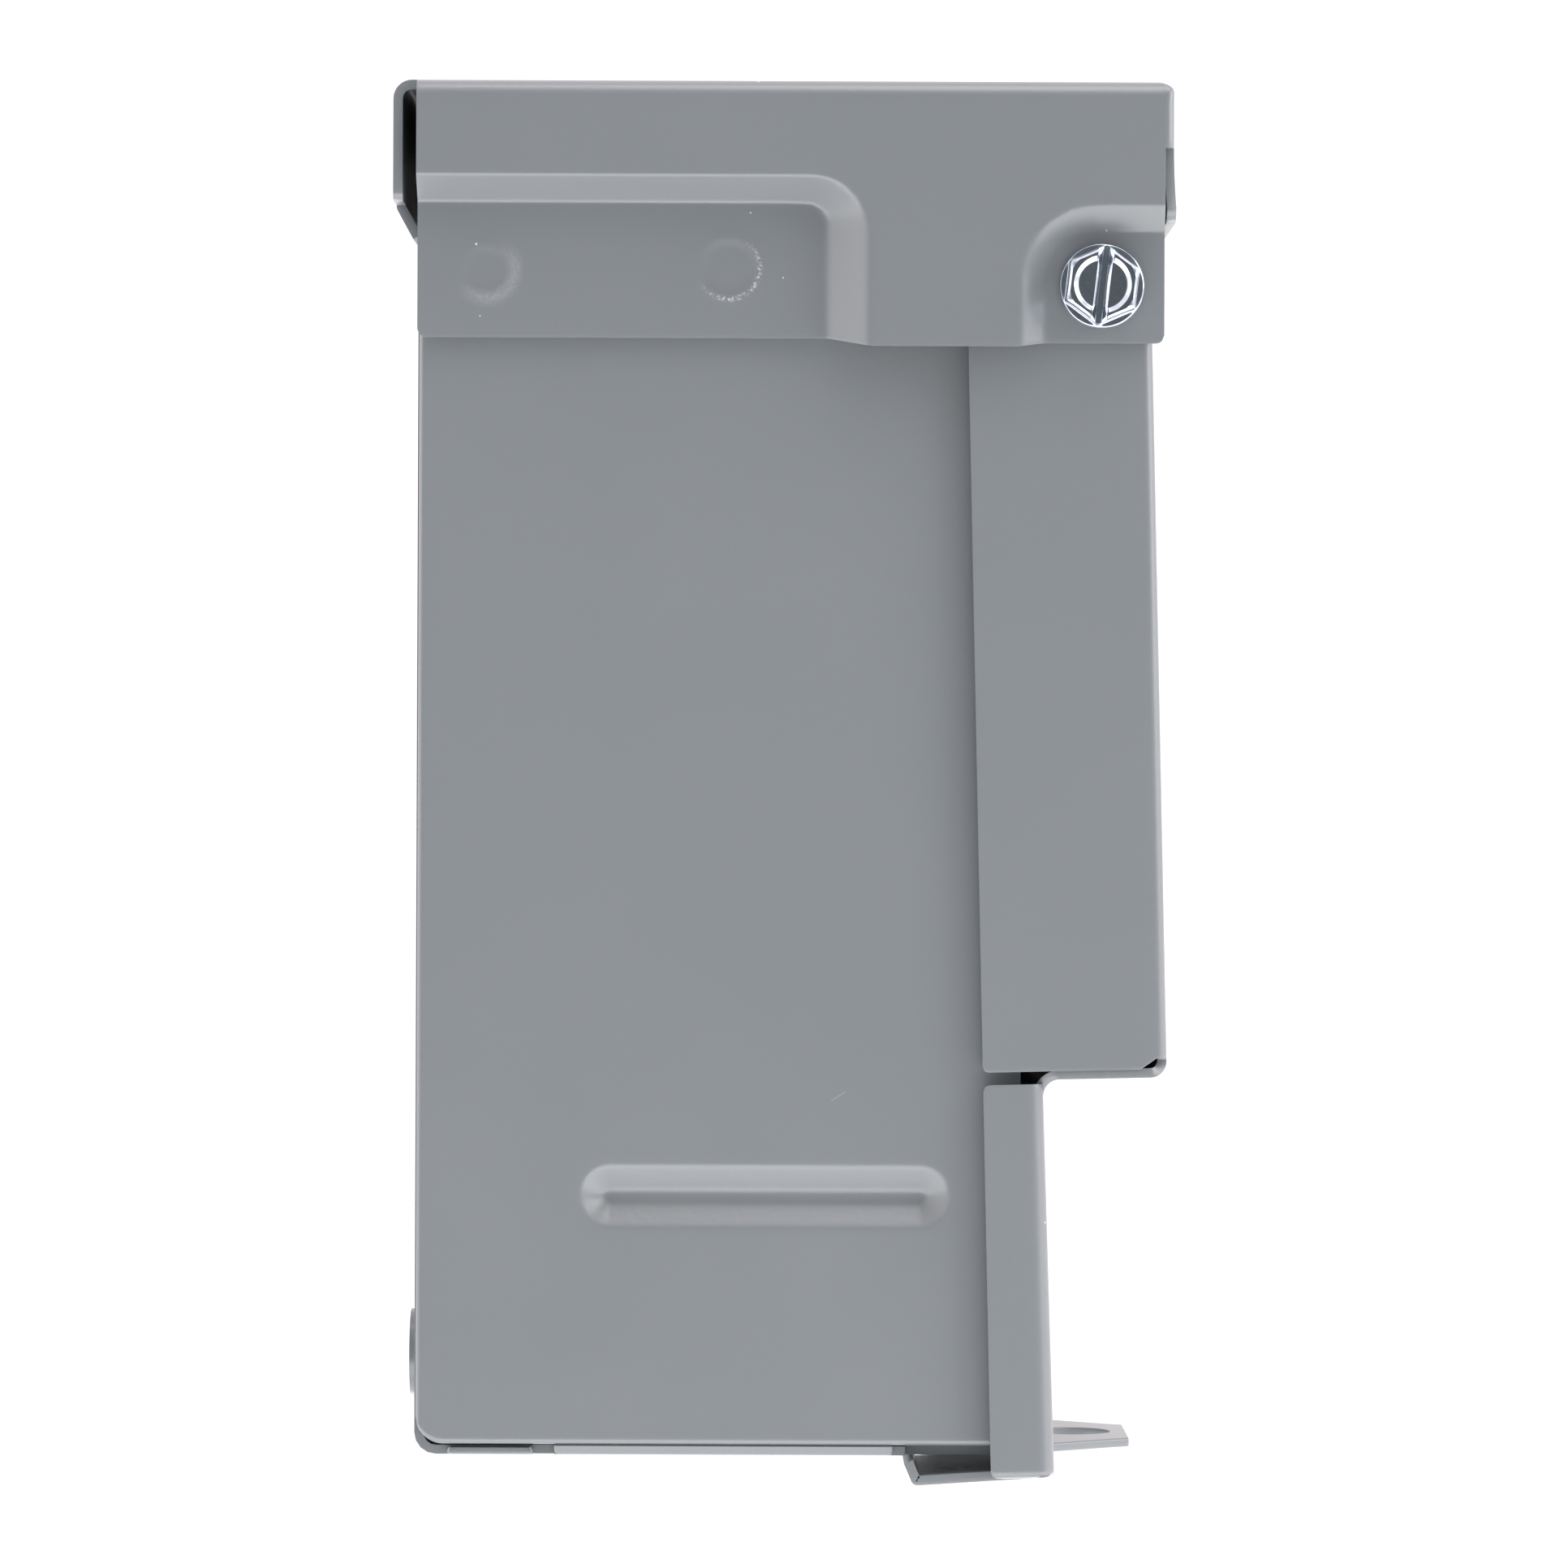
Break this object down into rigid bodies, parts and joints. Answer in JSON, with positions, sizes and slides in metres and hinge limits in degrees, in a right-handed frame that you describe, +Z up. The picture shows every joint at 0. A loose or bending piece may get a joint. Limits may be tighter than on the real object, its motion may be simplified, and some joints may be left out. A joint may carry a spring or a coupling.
{
  "type": "ac disconnect box",
  "caption": "Wall box for an air conditioner's disconnect switch, with a rain hood, a lift-up stepped cover, a padlock hasp and a toggle switch behind a dead front.",
  "frame": {"origin": "on the wall plane, midway across the box and at half the height of the box", "axes": "+Z up, the front cover faces -Y, the wall is at +Y, +X is to the right seen from the front"},
  "size_m": [0.1294, 0.1077, 0.1935],
  "materials": {
    "painted_steel": "satin light grey powder coat",
    "zinc_plated_steel": "bright zinc plate",
    "tinned_aluminium": "tin plated, dull",
    "copper": "bare copper",
    "silver_contact": "silver plated",
    "black_moulding": "matt thermoset moulding",
    "toggle_moulding": "smooth moulding",
    "crossbar_moulding": "matt moulding",
    "nylon": "natural nylon",
    "spring_steel": "oiled wire"
  },
  "bodies": {
    "enclosure": {"back_and_bottom": "painted_steel", "side_left": "painted_steel", "side_right": "painted_steel", "rain_hood": "painted_steel", "padlock_hasp": "painted_steel", "switch_bracket": "painted_steel", "dead_front": "painted_steel", "dead_front_bracket_left": "painted_steel", "dead_front_bracket_right": "painted_steel", "hinge_screw_left": "zinc_plated_steel", "hinge_screw_right": "zinc_plated_steel", "bracket_screw_lower": "zinc_plated_steel", "bracket_screw_upper": "zinc_plated_steel", "dead_front_screw_left": "zinc_plated_steel", "dead_front_screw_right": "zinc_plated_steel", "case_screw_lower_left": "zinc_plated_steel", "case_screw_lower_right": "zinc_plated_steel", "case_screw_upper_left": "zinc_plated_steel", "case_screw_upper_right": "zinc_plated_steel", "ground_screw_1": "zinc_plated_steel", "ground_screw_2": "zinc_plated_steel", "ground_screw_3": "zinc_plated_steel", "ground_screw_4": "zinc_plated_steel", "ground_bar_screw": "zinc_plated_steel", "toggle_pin": "zinc_plated_steel", "crossbar_pin": "zinc_plated_steel", "line_lug_left": "tinned_aluminium", "line_lug_right": "tinned_aluminium", "load_lug_left": "tinned_aluminium", "load_lug_right": "tinned_aluminium", "line_lug_screw_left": "tinned_aluminium", "line_lug_screw_right": "tinned_aluminium", "load_lug_screw_left": "tinned_aluminium", "load_lug_screw_right": "tinned_aluminium", "ground_bar": "tinned_aluminium", "fixed_contact_left": "copper", "fixed_contact_right": "copper", "load_strap_left": "copper", "load_strap_right": "copper", "switch_base": "black_moulding", "switch_cover": "black_moulding", "pivot_washer_left": "nylon", "pivot_washer_right": "nylon"},
    "cover": {"front_cover": "painted_steel"},
    "toggle": {"toggle_handle": "toggle_moulding", "toggle_spring": "spring_steel"},
    "contact_bar": {"crossbar": "crossbar_moulding", "contact_arm_left": "silver_contact", "contact_arm_right": "silver_contact"}
  },
  "joints": [
    {"name": "cover_hinge", "type": "hinge", "parent": "enclosure", "child": "cover", "pos_m": [0, -0.0975, 0.06665], "axis": [-1, 0, 0], "range_deg": [-0.4, 96]},
    {"name": "toggle_throw", "type": "hinge", "parent": "enclosure", "child": "toggle", "pos_m": [0, -0.0613, 0.01125], "axis": [1, 0, 0], "range_deg": [0, 36]},
    {"name": "contact_bar_turn", "type": "hinge", "parent": "enclosure", "child": "contact_bar", "pos_m": [0, -0.0343, -0.00275], "axis": [1, 0, 0], "range_deg": [0, 32.5]}
  ],
  "couplings": [
    {"joint": "contact_bar_turn", "follows": "toggle_throw", "ratio": 0.9}
  ]
}
